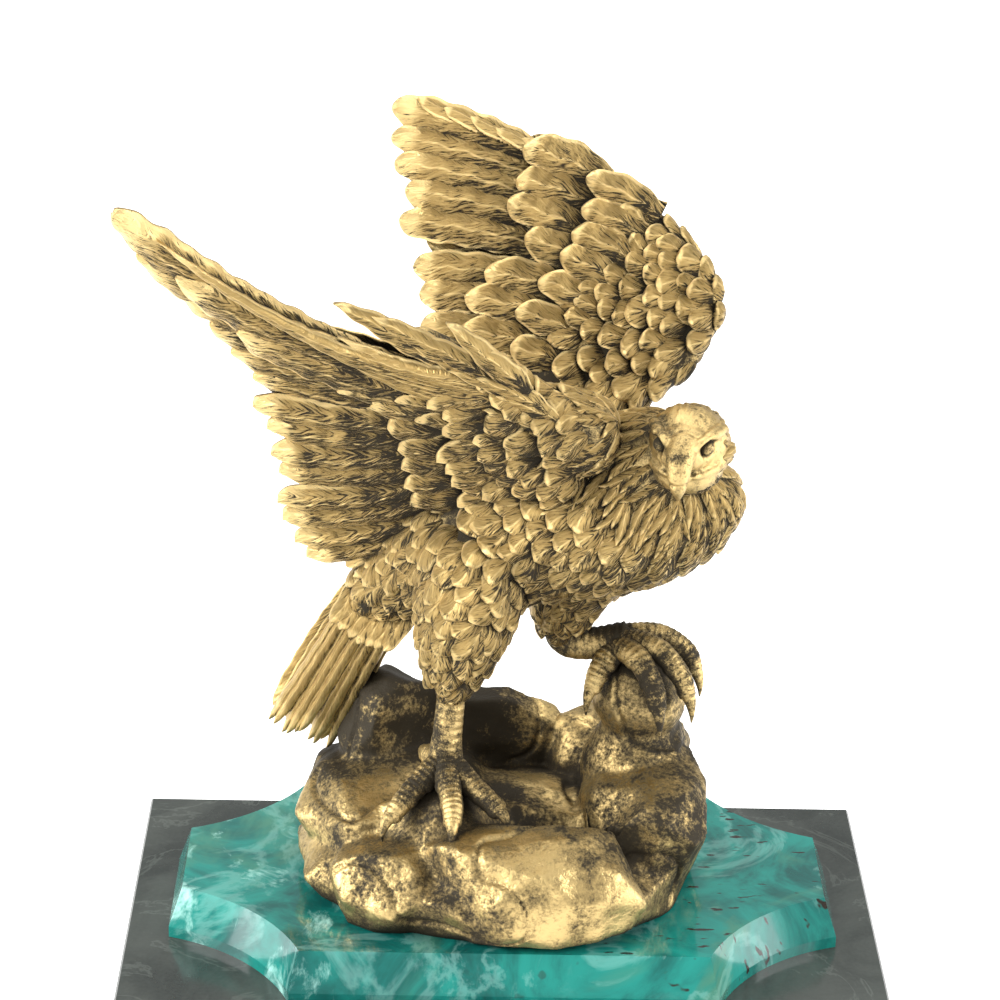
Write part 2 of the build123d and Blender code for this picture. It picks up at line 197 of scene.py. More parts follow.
def tube(shells, path, radii, sides, rings, ripple=0.0, ripple_pitch=2.0):
    """A limb along a smooth path, with cross scutes on its upper side and closed ends."""
    line = curve_through(path, rings)
    width = np.interp(np.linspace(0, 1, rings), np.linspace(0, 1, len(radii)), radii)
    ahead = np.gradient(line, axis=0)
    ahead /= np.linalg.norm(ahead, axis=1)[:, None]
    hint = UP if abs(unit(line[-1] - line[0]).dot(UP)) < 0.9 else vec(0, -1, 0)
    side = np.cross(ahead, hint)
    side /= np.linalg.norm(side, axis=1)[:, None]
    above = np.cross(side, ahead)
    reach = np.concatenate([[0], np.cumsum(np.linalg.norm(np.diff(line, axis=0), axis=1))])
    angle = np.linspace(0, 2 * math.pi, sides, endpoint=False)[None, :]
    bump = 1 + ripple * np.abs(np.sin(math.pi * reach / ripple_pitch))[:, None] * (
        0.35 + 0.65 * np.clip(np.sin(angle), 0, 1))
    swell = width[:, None] * bump
    points = line[:, None, :] + side[:, None, :] * (swell * np.cos(angle))[..., None]
    points = points + above[:, None, :] * (swell * np.sin(angle))[..., None]
    faces = []
    for i in range(rings - 1):
        for j in range(sides):
            k = (j + 1) % sides
            faces.append((i * sides + j, (i + 1) * sides + j, (i + 1) * sides + k, i * sides + k))
    count = rings * sides
    faces += [(count, j, (j + 1) % sides) for j in range(sides)]
    last = (rings - 1) * sides
    faces += [(count + 1, last + (j + 1) % sides, last + j) for j in range(sides)]
    caps = np.stack([line[0] - ahead[0] * width[0] * 0.4, line[-1] + ahead[-1] * width[-1] * 0.6])
    points = np.concatenate([points.reshape(-1, 3), caps])
    lay = np.tile(LIMB_LAY, (len(points), 1))
    scute = (0.5 + 0.5 * np.cos(2 * math.pi * reach / ripple_pitch))[:, None] * np.ones((1, sides))
    lay[:count, 0] = scute.ravel()
    shells.add(points, faces, lay, points * SKIN_BARB)


# ---- solids fused by voxels ----
def ball_part(centre, half_sizes, turn=None):
    """A stretched ball as points and faces; turn is a 3x3 matrix."""
    mesh = bmesh.new()
    bmesh.ops.create_icosphere(mesh, subdivisions=3, radius=1.0)
    points = np.array([v.co[:] for v in mesh.verts]) * np.array(half_sizes)
    faces = [[v.index for v in f.verts] for f in mesh.faces]
    mesh.free()
    if turn is not None:
        points = points @ np.array(turn).T
    return points + np.array(centre), faces


def stone_part(centre, half_sizes, seed, count):
    """A chiselled stone: the hull of that many points scattered on a stretched ball."""
    local = np.random.default_rng(seed)
    scatter = local.normal(size=(count, 3))
    scatter /= np.linalg.norm(scatter, axis=1)[:, None]
    scatter = scatter * np.array(half_sizes) + np.array(centre)
    mesh = bmesh.new()
    for point in scatter:
        mesh.verts.new(point)
    bmesh.ops.convex_hull(mesh, input=mesh.verts)
    loose = [v for v in mesh.verts if not v.link_faces]
    bmesh.ops.delete(mesh, geom=loose, context="VERTS")
    mesh.verts.index_update()
    points = np.array([v.co[:] for v in mesh.verts])
    faces = [[v.index for v in f.verts] for f in mesh.faces]
    mesh.free()
    return points, faces


def limb_parts(path, radii, count):
    """Overlapping balls along a path."""
    line = curve_through(path, count)
    widths = np.interp(np.linspace(0, 1, count), np.linspace(0, 1, len(radii)), radii)
    return [ball_part(point, (width,) * 3) for point, width in zip(line, widths)]


def fuse(parts, voxel, smoothing):
    """One closed skin round overlapping parts, as points, faces and point normals."""
    points, faces, count = [], [], 0
    for part_points, part_faces in parts:
        points.append(part_points)
        faces.extend([[i + count for i in face] for face in part_faces])
        count += len(part_points)
    mesh = bpy.data.meshes.new("fuse")
    mesh.from_pydata(np.concatenate(points).tolist(), [], faces)
    lump = bpy.data.objects.new("fuse", mesh)
    bpy.context.scene.collection.objects.link(lump)
    remesh = lump.modifiers.new("remesh", "REMESH")
    remesh.mode = "VOXEL"
    remesh.voxel_size = voxel
    soften = lump.modifiers.new("soften", "SMOOTH")
    soften.iterations = smoothing
    soften.factor = 0.5
    shape = lump.evaluated_get(bpy.context.evaluated_depsgraph_get()).to_mesh()
    skin_points = np.empty(len(shape.vertices) * 3)
    shape.vertices.foreach_get("co", skin_points)
    normals = np.empty(len(shape.vertices) * 3)
    shape.vertices.foreach_get("normal", normals)
    skin_faces = [tuple(polygon.vertices) for polygon in shape.polygons]
    bpy.data.objects.remove(lump)
    bpy.data.meshes.remove(mesh)
    return skin_points.reshape(-1, 3), skin_faces, normals.reshape(-1, 3)


def skin_tree(points, faces):
    return BVHTree.FromPolygons([Vector(p) for p in points], faces)


def add_skin(shells, points, faces, shine=0.5):
    """A fused skin; shine above 0.5 shows more gold, below it more patina, which on the rock is painted
    shade.
    """
    lay = np.tile(SKIN_LAY, (len(points), 1))
    lay[:, 2] = shine
    shells.add(points, faces, lay, points * SKIN_BARB)


HASH = (127.1, 311.7, 74.7)
HASH_SEED = 53.3
HASH_SCALE = 43758.5453


def lattice_noise(points, size, seed):
    """Smooth value noise between -1 and 1 on a cubic lattice."""
    cell = points / size
    low = np.floor(cell).astype(int)
    part = cell - low
    part = part * part * (3 - 2 * part)
    noise = np.zeros(len(points))
    for corner in range(8):
        shift = np.array([corner & 1, corner >> 1 & 1, corner >> 2 & 1])
        at = low + shift
        key = at[:, 0] * HASH[0] + at[:, 1] * HASH[1] + at[:, 2] * HASH[2] + seed * HASH_SEED
        value = np.sin(key) * HASH_SCALE
        value = (value - np.floor(value)) * 2 - 1
        weight = np.prod(np.where(shift == 1, part, 1 - part), axis=1)
        noise += value * weight
    return noise


# ---- material nodes ----
class Nodes:
    """Short calls for wiring one material; show sets an input of its shader."""

    def __init__(self, name):
        self.material = bpy.data.materials.new(name)
        self.material.use_nodes = True
        self.tree = self.material.node_tree
        self.shader = self.tree.nodes["Principled BSDF"]

    def node(self, kind, **settings):
        made = self.tree.nodes.new(kind)
        for key, value in settings.items():
            setattr(made, key, value)
        return made

    def feed(self, socket, value):
        if isinstance(value, bpy.types.NodeSocket):
            self.tree.links.new(value, socket)
        else:
            socket.default_value = value

    def show(self, name, value):
        self.feed(self.shader.inputs[name], value)

    def math(self, operation, *values, clamp=False):
        made = self.node("ShaderNodeMath", operation=operation, use_clamp=clamp)
        for socket, value in zip(made.inputs, values):
            self.feed(socket, value)
        return made.outputs[0]

    def attribute(self, name, output):
        return self.node("ShaderNodeAttribute", attribute_name=name).outputs[output]

    def split(self, vector):
        made = self.node("ShaderNodeSeparateXYZ")
        self.feed(made.inputs[0], vector)
        return made.outputs

    def noise(self, vector, scale, detail=3.0, roughness=0.55, distortion=0.0):
        made = self.node("ShaderNodeTexNoise")
        self.feed(made.inputs["Vector"], vector)
        for key, number in (("Scale", scale), ("Detail", detail), ("Roughness", roughness),
                            ("Distortion", distortion)):
            made.inputs[key].default_value = number
        return made.outputs["Fac"]

    def span(self, value, low, high, to_low=0.0, to_high=1.0):
        """Smoothly to_low where value is low, to_high where it is high."""
        made = self.node("ShaderNodeMapRange", interpolation_type="SMOOTHSTEP")
        self.feed(made.inputs["Value"], value)
        for key, number in (("From Min", low), ("From Max", high), ("To Min", to_low), ("To Max", to_high)):
            made.inputs[key].default_value = number
        return made.outputs["Result"]

    def mix(self, factor, first, second):
        made = self.node("ShaderNodeMix", data_type="RGBA")
        factor_in, first_in, second_in, color_out = 0, 6, 7, 2
        self.feed(made.inputs[factor_in], factor)
        self.feed(made.inputs[first_in], first)
        self.feed(made.inputs[second_in], second)
        return made.outputs[color_out]

    def position(self):
        return self.node("ShaderNodeTexCoord").outputs["Object"]

    def scaled(self, vector, factors):
        made = self.node("ShaderNodeVectorMath", operation="MULTIPLY")
        self.feed(made.inputs[0], vector)
        made.inputs[1].default_value = factors
        return made.outputs[0]

    def bump(self, height, distance, strength=1.0):
        made = self.node("ShaderNodeBump")
        self.feed(made.inputs["Height"], height)
        made.inputs["Distance"].default_value = distance
        made.inputs["Strength"].default_value = strength
        self.show("Normal", made.outputs[0])


GOLD_BRIGHT = (0.72, 0.54, 0.245, 1)
GOLD_DEEP = (0.37, 0.255, 0.095, 1)
PATINA = (0.030, 0.024, 0.015, 1)
PATINA_ROUGHNESS = 0.62
GOLD_ROUGHNESS = 0.31
FEATHER_GOLD_FROM = 0.935
FEATHER_GOLD_TO = 1.02


def gilt(nodes, worn, grain):
    """Gold rubbed over near-black patina; worn is 1 where the gold shows."""
    tone = nodes.mix(grain, GOLD_DEEP, GOLD_BRIGHT)
    nodes.show("Base Color", nodes.mix(worn, PATINA, tone))
    nodes.show("Metallic", nodes.span(worn, 0.0, 0.6, 0.1, 1.0))
    nodes.show("Roughness", nodes.span(worn, 0.0, 1.0, PATINA_ROUGHNESS, GOLD_ROUGHNESS))
    nodes.show("Specular IOR Level", 0.12)


def cavity(nodes, reach):
    """1 on open ground, 0 deep between neighbours; reach is in metres."""
    shade = nodes.node("ShaderNodeAmbientOcclusion", samples=6)
    shade.inputs["Distance"].default_value = reach
    return shade.outputs["AO"]


def total(nodes, *terms):
    """The sum of weighted fields, each given as (field, weight)."""
    result = None
    for field, weight in terms:
        part = nodes.math("MULTIPLY", field, weight)
        result = part if result is None else nodes.math("ADD", result, part)
    return result


def feather_bronze():
    """Gilt feathers: dark barb streaks, bright rims and quills, dark clefts between them, with painted
    highlight on the rims and painted shade at the bases and on faces turned down.
    """
    nodes = Nodes("feather_bronze")
    along, edge, shine = nodes.split(nodes.attribute("lay", "Vector"))
    barb = nodes.attribute("barb", "Vector")
    streak = nodes.noise(nodes.scaled(barb, (1.0, 0.10, 1.0)), 2.1, 4.0, 0.7, 0.3)
    fine = nodes.noise(nodes.scaled(barb, (1.0, 0.09, 1.0)), 5.0, 3.0, 0.65, 0.2)
    blot = nodes.noise(nodes.position(), 170.0, 3.0, 0.6)
    # Rims and tips show brighter gold: partly rubbed gilding, partly painted highlight.
    rim = nodes.math("MAXIMUM", nodes.span(edge, 0.74, 0.98), nodes.span(along, 0.82, 0.97))
    quill = nodes.span(edge, 0.10, 0.02)
    high = nodes.math("MAXIMUM", rim, nodes.math("MULTIPLY", quill, 0.3))
    # Painted shade: darker towards each feather's base, where the feather above shades it, and on faces
    # turned down; lighter on faces turned up.
    _, _, facing_up = nodes.split(nodes.node("ShaderNodeNewGeometry").outputs["Normal"])
    shape = nodes.math("ADD", nodes.span(along, 0.15, 0.8, -0.06, 0.05),
                       nodes.span(facing_up, -0.45, 0.6, -0.07, 0.05))
    shape = nodes.math("ADD", shape, nodes.span(cavity(nodes, 0.0035), 0.25, 0.8, -0.28, 0.03))
    pattern = total(nodes, (streak, 0.70), (blot, 0.25), (fine, 0.50), (high, 0.09), (shine, 0.5))
    field = nodes.math("ADD", shape, pattern)
    worn = nodes.span(field, FEATHER_GOLD_FROM, FEATHER_GOLD_TO)
    gilt(nodes, worn, nodes.span(nodes.math("ADD", streak, high), 0.4, 1.1))
    nodes.bump(total(nodes, (streak, 1.0), (fine, 0.9)), 0.0007, 1.0)
    return nodes.material


def skin_bronze(name, grain_scale, dark, softness, rough):
    """Bare skin, beak, claws and rock: gilt with pits and dark speckle.

    dark is the level of the pattern under which patina shows, softness half the width of its edge."""
    nodes = Nodes(name)
    place = nodes.position()
    speck = nodes.noise(place, grain_scale, 5.0, 0.75)
    broad = nodes.noise(place, grain_scale * 0.13, 3.0, 0.6, 0.6)
    sand = nodes.noise(place, grain_scale * 4.0, 2.0, 0.7)
    scute, _, shine = nodes.split(nodes.attribute("lay", "Vector"))
    shape = nodes.math("ADD", nodes.span(cavity(nodes, 0.009), 0.3, 0.9, -0.22, 0.04),
                       nodes.span(scute, 0.0, 0.5, -0.05, 0.0))
    # shine below 0.5 on the rock carries its painted shade.
    field = nodes.math("ADD", shape, total(nodes, (speck, 0.50), (broad, 0.85), (sand, 0.22), (shine, 0.6)))
    worn = nodes.span(field, dark - softness, dark + softness)
    gilt(nodes, worn, broad)
    nodes.show("Roughness", nodes.span(worn, 0.0, 1.0, PATINA_ROUGHNESS, rough))
    nodes.bump(total(nodes, (speck, 0.8), (sand, 0.5)), 0.0004, 0.8)
    return nodes.material


PLINTH_DEEP = (0.004, 0.085, 0.075, 1)
PLINTH_GREEN = (0.01, 0.23, 0.19, 1)
PLINTH_OLIVE = (0.05, 0.19, 0.13, 1)
PLINTH_MILK = (0.45, 0.80, 0.72, 1)
PLINTH_FLECK = (0.02, 0.012, 0.008, 1)
SLAB_DARK = (0.018, 0.022, 0.020, 1)
SLAB_GREY = (0.050, 0.056, 0.050, 1)
SLAB_VEIN = (0.16, 0.18, 0.16, 1)
SLAB_GRAIN = (0.09, 0.10, 0.09, 1)
FELT_DARK = (0.01, 0.03, 0.02, 1)
FELT_LIGHT = (0.03, 0.07, 0.045, 1)
PIN_BRONZE = (0.6, 0.42, 0.2, 1)
ZINC_STEEL = (0.55, 0.56, 0.58, 1)


def plinth_stone():
    """Polished malachite-like stone: clouds, white veins and dark flecks."""
    nodes = Nodes("plinth_stone")
    place = nodes.position()
    warp = nodes.noise(place, 14.0, 5.0, 0.6, 1.6)
    clouds = nodes.noise(place, 26.0, 6.0, 0.62, 2.2)
    side = nodes.split(place)[0]
    body = nodes.mix(nodes.span(clouds, 0.35, 0.66), PLINTH_DEEP, PLINTH_GREEN)
    body = nodes.mix(nodes.span(warp, 0.52, 0.68), body, PLINTH_OLIVE)
    left = nodes.span(side, 0.02, -0.07)
    vein = nodes.math("ABSOLUTE", nodes.math("SUBTRACT", nodes.noise(place, 21.0, 7.0, 0.6, 1.2), 0.5))
    vein = nodes.span(vein, 0.045, 0.0)
    milk = nodes.span(nodes.noise(place, 34.0, 6.0, 0.66, 1.6), 0.56, 0.74)
    milk = nodes.math("MULTIPLY", milk, nodes.math("ADD", nodes.math("MULTIPLY", left, 0.95), 0.05))
    pale = nodes.math("MAXIMUM", nodes.math("MULTIPLY", vein, 0.16), milk)
    body = nodes.mix(pale, body, PLINTH_MILK)
    flecks = nodes.noise(nodes.scaled(place, (1.0, 3.0, 1.0)), 150.0, 2.0, 0.5)
    flecks = nodes.math("MULTIPLY", nodes.span(flecks, 0.64, 0.70), nodes.span(side, -0.03, 0.05))
    body = nodes.mix(flecks, body, PLINTH_FLECK)
    nodes.show("Base Color", body)
    nodes.show("Roughness", nodes.span(clouds, 0.3, 0.7, 0.07, 0.14))
    nodes.show("Coat Weight", 0.5)
    nodes.show("Coat Roughness", 0.04)
    return nodes.material


def slab_stone():
    """Dark grey-green stone with faint veins, honed."""
    nodes = Nodes("slab_stone")
    place = nodes.position()
    cloud = nodes.noise(place, 30.0, 6.0, 0.6, 1.0)
    grain = nodes.noise(place, 900.0, 2.0, 0.5)
    vein = nodes.math("ABSOLUTE", nodes.math("SUBTRACT", nodes.noise(place, 17.0, 6.0, 0.6, 1.5), 0.5))
    body = nodes.mix(nodes.span(cloud, 0.3, 0.7), SLAB_DARK, SLAB_GREY)
    body = nodes.mix(nodes.math("MULTIPLY", nodes.span(vein, 0.015, 0.0), 0.22), body, SLAB_VEIN)
    body = nodes.mix(nodes.math("MULTIPLY", grain, 0.25), body, SLAB_GRAIN)
    nodes.show("Base Color", body)
    nodes.show("Roughness", nodes.span(grain, 0.3, 0.7, 0.12, 0.2))
    return nodes.material


def plain_metal(name, color, roughness):
    """Bare metal with a fine grain, for pins and fasteners."""
    nodes = Nodes(name)
    grain = nodes.noise(nodes.position(), 700.0, 3.0)
    darker = tuple(c * 0.7 for c in color[:3]) + (1,)
    nodes.show("Base Color", nodes.mix(grain, color, darker))
    nodes.show("Metallic", 1.0)
    nodes.show("Roughness", nodes.span(grain, 0.3, 0.7, roughness, roughness + 0.15))
    return nodes.material


def felt_cloth():
    nodes = Nodes("felt")
    fuzz = nodes.noise(nodes.position(), 1500.0, 4.0, 0.7)
    green = nodes.mix(fuzz, FELT_DARK, FELT_LIGHT)
    nodes.show("Base Color", green)
    nodes.show("Roughness", 0.95)
    nodes.bump(fuzz, 0.0003)
    return nodes.material


# ---- wings ----
class WingFrame:
    """The leaning plane that a wing lies on: u along the body, v up the wing, out towards -Y.

    bulge lists the swellings of the wing's face as (u, v, radius, height)."""

    def __init__(self, root, lean, bulge):
        lean = math.radians(lean)
        self.root = vec(*root)
        self.up = vec(0, math.sin(lean), math.cos(lean))
        self.out = vec(0, -math.cos(lean), math.sin(lean))
        self.bulge = bulge

    def at(self, spot, height=0.0):
        u, v = spot
        swell = sum(h * math.exp(-((u - cu) ** 2 + (v - cv) ** 2) / r ** 2) for cu, cv, r, h in self.bulge)
        return self.root + vec(1, 0, 0) * u + self.up * v + self.out * (swell + height)


def feather_row(shells, wing, bases, tips, count, width, face, height, jitter=0.6, **style):
    """Feathers side by side between two curves of the wing, or between given spots where count is None.

    face is 1 to the front, -1 to the back."""
    if count is not None:
        bases, tips = curve_through(bases, count), curve_through(tips, count)
    for start, stop in zip(np.array(bases, float), np.array(tips, float)):
        start = start + rng.normal(0, jitter * 0.4, 2)
        stop = stop + rng.normal(0, jitter, 2)
        base = wing.at(start, height)
        tip = wing.at(stop, height)
        feather(shells, base, tip, wing.out * face, width * rng.uniform(0.93, 1.07), **style)


def single_feathers(shells, wing, places, base_height, tip_height, tilt, **style):
    """Feathers placed one by one as (base, tip, width), turned up from the wing's face by tilt."""
    for base, tip, width in places:
        facing = wing.out + wing.up * tilt
        feather(shells, wing.at(base, base_height), wing.at(tip, tip_height), facing, width, **style)


QUILLS = {"outline": "blade", "rows": 56, "cols": 19, "camber": 0.23, "thick": 1.6, "groove": 0.17,
          "ridge": 0.12, "pitch": 2.1, "lift": 1.0, "sink": 0.8, "quill": 0.45}
COVERTS = {"outline": "round", "rows": 24, "cols": 15, "camber": 0.19, "thick": 1.4, "groove": 0.15,
           "ridge": 0.1, "pitch": 1.9, "lift": 1.6, "sink": 0.9}
SCALES = {"outline": "round", "rows": 15, "cols": 11, "camber": 0.2, "thick": 1.4, "groove": 0.13,
          "ridge": 0.05, "pitch": 1.8, "lift": 1.5, "sink": 1.0}
TRUNK_SCALES = {**SCALES, "rows": 13, "cols": 9}
THIGH_SCALES = {**SCALES, "rows": 13, "lift": 1.8}
EDGE_SCALES = {**SCALES, "lift": 0.5, "sink": 0.5}
LANCES = {**QUILLS, "outline": "lance", "cols": 9, "camber": 0.34, "ridge": 0.3, "bow": -0.06, "shine": 0.72}
TUFTS = {**COVERTS, "outline": "lance", "rows": 36, "cols": 11, "camber": 0.26, "bow": 0.03, "shine": 0.62}
RUFF = {**SCALES, "outline": "lance", "rows": 18, "cols": 7, "camber": 0.26, "lift": 0.9, "groove": 0.08}
HEAD_PLUMES = {**SCALES, "outline": "lance", "rows": 10, "cols": 5, "camber": 0.14, "lift": 0.2, "sink": 0.5,
               "groove": 0.05, "thick": 0.8, "shine": 0.58}
ROPES = {**QUILLS, "camber": 0.5, "ridge": 0.25, "cols": 11, "pitch": 1.3, "groove": 0.1, "shine": 0.8}

NEAR_WING = WingFrame((0, -17, 158), -26, ((-10, 12, 26, 3.0), (-4, -18, 22, 2.0)))
FAR_WING = WingFrame((0, 20.5, 150), 19, ((38, 30, 20, 3.0), (20, 20, 20, 2.0)))

# Long feathers of the near wing: base and tip as (u, v), then width, height and sideways bow.
NEAR_PRIMARIES = (
    ((-20, 17), (-96, 71.5), 11.5, -0.5, -0.07), ((-20, 14), (-91, 58), 10, -1.2, -0.06),
    ((-20, 11), (-82, 46), 10, -1.5, -0.045), ((-19, 8), (-75, 34), 10, -1.8, -0.03),
    ((-18, 5), (-70, 25), 10, -2.0, -0.02), ((-18, 2), (-65, 16), 10.5, -2.4, -0.01),
    ((-16, 13), (-82, 53), 11, 1.0, -0.05), ((-14, 9), (-68, 35.5), 11, 1.8, -0.03),
)
# Short feathers over their roots, thin ones along the top edge, and the tufts above the shoulder:
# base and tip as (u, v), then width.
NEAR_ROOTS = (
    ((-16, 10), (-44, 17), 6.5), ((-12, 6), (-36, 12), 6.5), ((-6, 9), (-30, 15), 6.5),
    ((-4, 4), (-25, 9), 6.5),
)
NEAR_LANCES = (
    ((-14, 19), (-86, 65), 3.8), ((-10, 17), (-74, 53), 3.6), ((-6, 15), (-64, 44), 3.8),
    ((-2, 13), (-54, 36), 3.8), ((4, 10), (-46, 29), 4.0), ((-4, 21), (-52, 37), 5.0),
    ((0, 19), (-44, 34), 5.0), ((2, 17), (-36, 30), 5.0),
)
NEAR_TUFTS = (
    ((-20, 29), (-45, 46), 6.5), ((-14, 27), (-36, 42), 6.0), ((-8, 25), (-29, 37), 6.0),
    ((-1, 21), (-18, 41), 6.5), ((3, 19), (-12, 34), 6.0), ((2, 17), (-25, 31), 5.6),
    ((6, 14), (-18, 26), 5.6), ((8, 12), (-11, 24), 5.6), ((10, 9), (-6, 18), 5.4),
    ((12, 6), (-9, 13), 5.4), ((14, 4), (-2, 11), 5.2), ((16, 1), (0, 5), 5.2),
)
# Rows of coverts on both faces of a wing, outer row first: curves or spots for bases and tips,
# then count, width and jitter.
NEAR_COVERT_ROWS = (
    ([(-20, 9), (-14, -4), (-12, -14), (-8, -24), (2, -35)],
     [(-36, 11), (-31, -2), (-29, -14), (-23, -27), (-12, -44)], 9, 9.6, 1.8),
    ([(-4, 20), (-4, 4), (-2, -10), (6, -26)], [(-22, 16), (-18, 2), (-16, -13), (-8, -34)], 9, 8.6, 1.6),
)
FAR_COVERT_ROWS = (
    ([(24, 58), (21, 51), (19, 44), (17, 37), (14, 29), (12, 22), (10, 13), (12, 0)],
     [(1, 66.5), (-1, 58), (-3, 50), (0, 43), (-8, 34), (-12, 27), (-14, 18), (-8, 4)], None, 10.6, 0.9),
    ([(38, 49), (34, 43), (31, 37), (27, 31), (22, 25), (17, 18), (15, 9), (18, -4)],
     [(19, 59), (17, 52), (16, 45), (11, 38), (6, 31), (1, 24), (-3, 14), (2, 0)], None, 9.6, 0.9),
)


def covert_rows(shells, wing, rows, front, back, bow):
    """Rows of coverts on both faces, at heights front and back, and each row above the last."""
    for face, height in ((1, front), (-1, back)):
        for layer, (bases, tips, count, width, jitter) in enumerate(rows):
            feather_row(shells, wing, bases, tips, count=count, width=width, face=face,
                        height=height * (1 + layer / 2), jitter=jitter, bow=bow, **COVERTS)


def right_wing(shells):
    """The near wing, stretched back; its underside faces the front."""
    wing = NEAR_WING
    for base, tip, width, height, bow in NEAR_PRIMARIES:
        feather(shells, wing.at(base, height), wing.at(tip, height), wing.out, width, bow=bow, **QUILLS)
    single_feathers(shells, wing, NEAR_ROOTS, base_height=3.0, tip_height=2.6, tilt=0.0, bow=0.03, **COVERTS)
    single_feathers(shells, wing, NEAR_LANCES, base_height=3.2, tip_height=2.4, tilt=0.4, **LANCES)
    feather_row(shells, wing,
                [(-16, 4), (-16, -4), (-15, -11), (-13, -19), (-11, -26), (-6, -34), (1, -41)],
                [(-64, 8), (-61, -6), (-60.5, -17), (-59.5, -29), (-57, -40), (-49, -51), (-34, -56)],
                count=10, width=10.5, face=1, height=-0.6, jitter=0.9, bow=-0.06, **QUILLS)
    covert_rows(shells, wing, NEAR_COVERT_ROWS, front=1.8, back=-2.0, bow=-0.05)
    feather_row(shells, wing, [(-8, 17), (-8, 10), (-6, 4)], [(-56, 30), (-52, 20), (-42, 8)],
                count=7, width=10, face=-1, height=-2.0, **{**COVERTS, "rows": 40})
    single_feathers(shells, wing, NEAR_TUFTS, base_height=4.6, tip_height=3.0, tilt=0.6, **TUFTS)


def left_wing_quills(shells):
    """The long feathers of the far wing, raised; its back faces the front."""
    wing = FAR_WING
    feather_row(shells, wing,
                [(14, 60), (14, 55), (14, 50), (13, 45), (12, 39), (11, 31), (10, 24), (9, 16), (6, 6)],
                [(-33, 77), (-32.5, 69), (-31.3, 61.5), (-29.6, 54.5), (-30, 46.5), (-27, 35.5), (-25, 27.5),
                 (-24, 19), (-16, 6)],
                count=None, width=9.8, face=1, height=-1.5, jitter=0.5, bow=0.03, **QUILLS)
    feather_row(shells, wing, [(14, 58), (12, 40), (9, 20)], [(-26, 70), (-23, 46), (-19, 22)],
                count=8, width=10.5, face=-1, height=-2.5, **QUILLS)


def left_wing_coverts(shells, tree):
    """The short feathers of the far wing: rows, then a coat on its arm, then its leading edge."""
    wing = FAR_WING
    covert_rows(shells, wing, FAR_COVERT_ROWS, front=1.6, back=-2.2, bow=0.04)
    lay_coat(shells, tree, far_wing_aim, far_wing_flow, far_wing_coat, spacing=4.2, tries=7500, seed=8,
             size=9.0, width=8.0, **SCALES)
    ahead = unit(vec(-1, 0.42))
    for lead in curve_through([(-18, 74.5), (0, 68), (18, 60), (33, 49)], 9):
        facing = unit(vec(lead[0] * 0.02, -0.5, 1))
        feather(shells, wing.at(lead - ahead * 6), wing.at(lead + ahead * 9), facing, 5.0, **EDGE_SCALES)


def far_wing_aim(local):
    return FAR_WING.at((local.uniform(6, 50), local.uniform(-8, 55)))


def far_wing_coat(spot):
    """True on the arm of the far wing, in front of its long feathers."""
    offset = spot - FAR_WING.root
    u, v = offset[0], offset.dot(FAR_WING.up)
    return u > 12 + 0.22 * max(v - 10, 0) + 0.25 * max(v - 40, 0)


def far_wing_flow(spot):
    v = (spot - FAR_WING.root).dot(FAR_WING.up)
    return unit(vec(-1, 0, 0.45 * smooth_step(20, 45, v) - 0.7 * smooth_step(24, 2, v)))


# Fleshy strokes of the far wing and of the near wing's root: a path of (u, v), then radii along it.
FAR_ARM = (
    ([(10, -6), (30, 8), (43, 16), (47, 27), (42, 37), (30, 47), (14, 56)], (11, 10, 7, 6.5, 6, 5, 4)),
    ([(8, -4), (16, 14), (22, 30), (26, 42)], (11, 9, 8, 6)),
    ([(28, 14), (35, 24), (34, 36)], (9, 9, 7)),
)
NEAR_ARM = (
    ([(16, -4), (2, 4), (-8, 16), (-24, 29)], (10, 8, 6, 3.5)),
    ([(8, -14), (-6, -2), (-14, 8)], (10, 7, 4)),
    ([(6, -24), (-6, -18), (-12, -10)], (10, 7, 4)),
)


def wing_arm_parts(wing, strokes, height, count):
    parts = []
    for path, radii in strokes:
        parts += limb_parts([wing.at(spot, height) for spot in path], radii, count)
    return parts


def far_wing_skin():
    """The fleshy arm and pad of the far wing, thinned to half across the wing."""
    wing = FAR_WING
    points, faces, _ = fuse(wing_arm_parts(wing, FAR_ARM, height=-1.0, count=26), voxel=1.2, smoothing=4)
    depth = (points - wing.at((10, 10), -1.0)) @ wing.out
    points = points - np.outer(depth * 0.5, wing.out)
    return points, faces


# ---- trunk, neck, thighs, tail ----
TRUNK_PATH = ((-34, 8, 102), (-24, 6, 109), (-12, 3, 118), (6, 2, 126), (26, 1, 128), (40, 0, 129),
              (48, 0, 132))
TRUNK_RADII = (7, 12, 18, 21, 21, 18, 11)
NECK_PATH = ((27, 0, 138), (36, -5, 146), (42, -11, 150))
NECK_RADII = (15, 12, 9)
RIGHT_THIGH = ((-9, -8, 116), (-12, -12, 102), (-14.5, -12, 86))
RIGHT_THIGH_RADII = (14, 11, 5.5)
LEFT_THIGH = ((18, 6, 112), (15, 7, 103), (14, 8, 94))
LEFT_THIGH_RADII = (12, 9, 5.5)
HEAD = vec(43.5, -13, 152)
HEAD_AHEAD = unit(vec(-0.20, -0.95, -0.08))


def trunk_skin():
    """Trunk, neck, thighs and the root of the near wing, run together."""
    parts = limb_parts(TRUNK_PATH, TRUNK_RADII, 40) + limb_parts(NECK_PATH, NECK_RADII, 12)
    parts += limb_parts(RIGHT_THIGH, RIGHT_THIGH_RADII, 14) + limb_parts(LEFT_THIGH, LEFT_THIGH_RADII, 12)
    parts += wing_arm_parts(NEAR_WING, NEAR_ARM, height=-3.0, count=20)
    return fuse(parts, voxel=1.3, smoothing=8)


def trunk_aim(local):
    return vec(local.uniform(-42, 56), local.uniform(-4, 6), local.uniform(84, 150))


